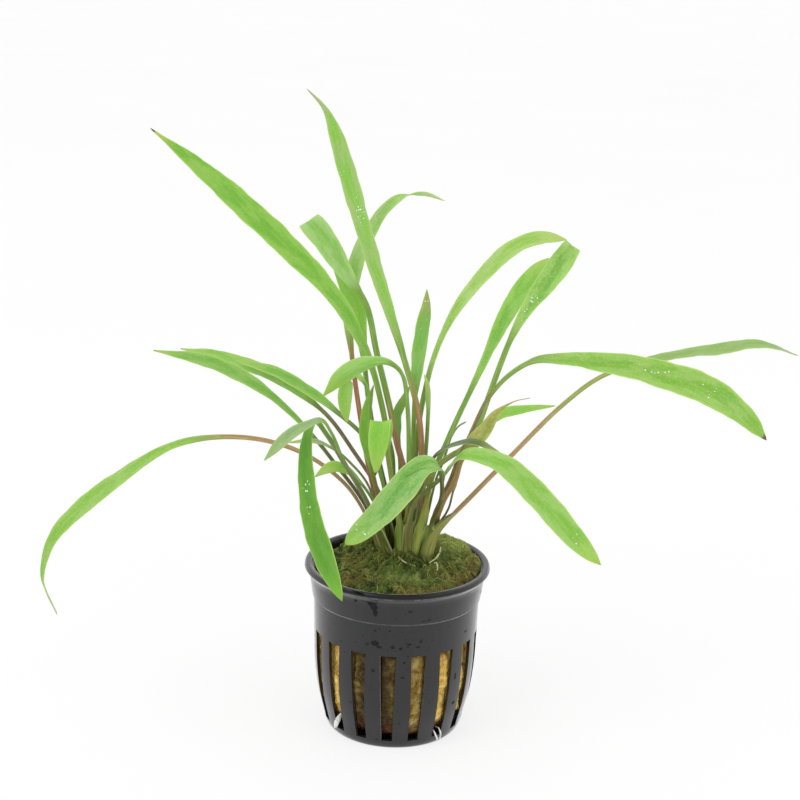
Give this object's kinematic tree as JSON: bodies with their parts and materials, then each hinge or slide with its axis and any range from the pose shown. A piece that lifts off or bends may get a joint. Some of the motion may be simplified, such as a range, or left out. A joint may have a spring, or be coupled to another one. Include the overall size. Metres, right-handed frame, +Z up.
{
  "type": "potted cryptocoryne",
  "caption": "Narrow-leaved cryptocoryne, an aquarium plant, rooted in mossy mineral wool in a small black slotted net pot.",
  "frame": {"origin": "centre of the pot's underside, on the surface it stands on", "axes": "+Z up along the pot's axis, +X to the viewer's right in the picture, which is the way the spread of leaves is longest, -Y to the viewer"},
  "size_m": [0.2244, 0.077, 0.187],
  "materials": {
    "pot_plastic": "satin black injection-moulded plastic",
    "mineral_wool": "wet golden-brown mineral wool fibre",
    "root": "white, slightly translucent root",
    "moss": "damp olive moss and algae over wool fibre",
    "leaf_green": "fresh mid-green leaf with a waxy sheen",
    "leaf_pale": "pale bluish-green leaf with a waxy sheen",
    "leaf_dark": "dark green leaf with a waxy sheen",
    "leaf_olive": "ageing olive leaf, dull"
  },
  "bodies": {
    "root": {"pot": "pot_plastic", "wool_plug": "mineral_wool", "moss": "moss", "root_loop": "root", "root_tip": "root", "leaf_tall": "leaf_green", "leaf_upper_left": "leaf_green", "leaf_folded_top": "leaf_green", "leaf_behind_top": "leaf_pale", "leaf_back_twist": "leaf_green", "leaf_small_bent": "leaf_pale", "leaf_small_hanging": "leaf_pale", "leaf_front_folded": "leaf_green", "leaf_dark_centre": "leaf_dark", "leaf_erect_small": "leaf_dark", "leaf_erect_narrow": "leaf_green", "leaf_right_arch": "leaf_green", "leaf_folded_right": "leaf_green", "leaf_right_neighbour": "leaf_green", "leaf_big_right": "leaf_green", "leaf_far_right": "leaf_green", "leaf_front_right": "leaf_green", "leaf_dark_arching": "leaf_dark", "leaf_front_centre": "leaf_pale", "leaf_front_left": "leaf_green", "leaf_small_left": "leaf_pale", "leaf_far_left": "leaf_green", "leaf_left_lower": "leaf_green", "leaf_left_upper": "leaf_green", "leaf_left_overlap": "leaf_green", "leaf_left_twist": "leaf_green", "leaf_slender": "leaf_pale", "leaf_pale_stalk": "leaf_pale", "leaf_old_olive": "leaf_olive", "leaf_old_light": "leaf_pale", "leaf_young_hook": "leaf_dark", "leaf_dark_stalk": "leaf_dark"}
  },
  "joints": []
}
